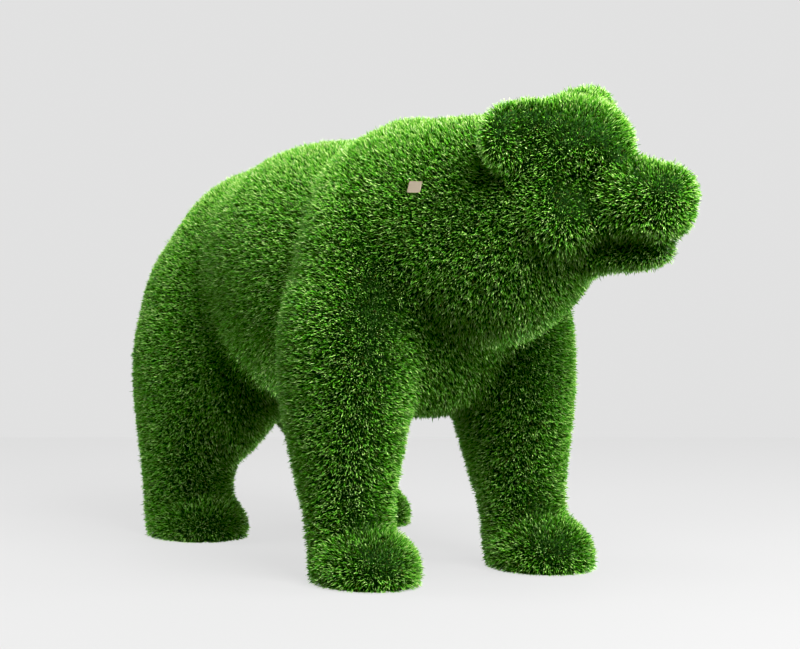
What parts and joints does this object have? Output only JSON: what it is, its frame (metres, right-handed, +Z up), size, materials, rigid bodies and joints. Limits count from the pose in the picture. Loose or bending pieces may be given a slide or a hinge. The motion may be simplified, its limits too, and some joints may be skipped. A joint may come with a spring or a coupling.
{
  "type": "topiary bear",
  "caption": "Standing bear figure with its head turned to one side, covered all over in artificial grass, with a small blank plate set in its neck.",
  "frame": {"origin": "on the floor, under the middle of the whole figure's bounding box", "axes": "the bear faces -Y, its left side is at +X, +Z is up"},
  "size_m": [0.8272, 2.0236, 1.2497],
  "materials": {
    "turf": "cut polyethylene grass pile",
    "plate": "pale brushed"
  },
  "bodies": {
    "root": {"turf_bear": "turf", "badge_plate": "plate"}
  },
  "joints": []
}
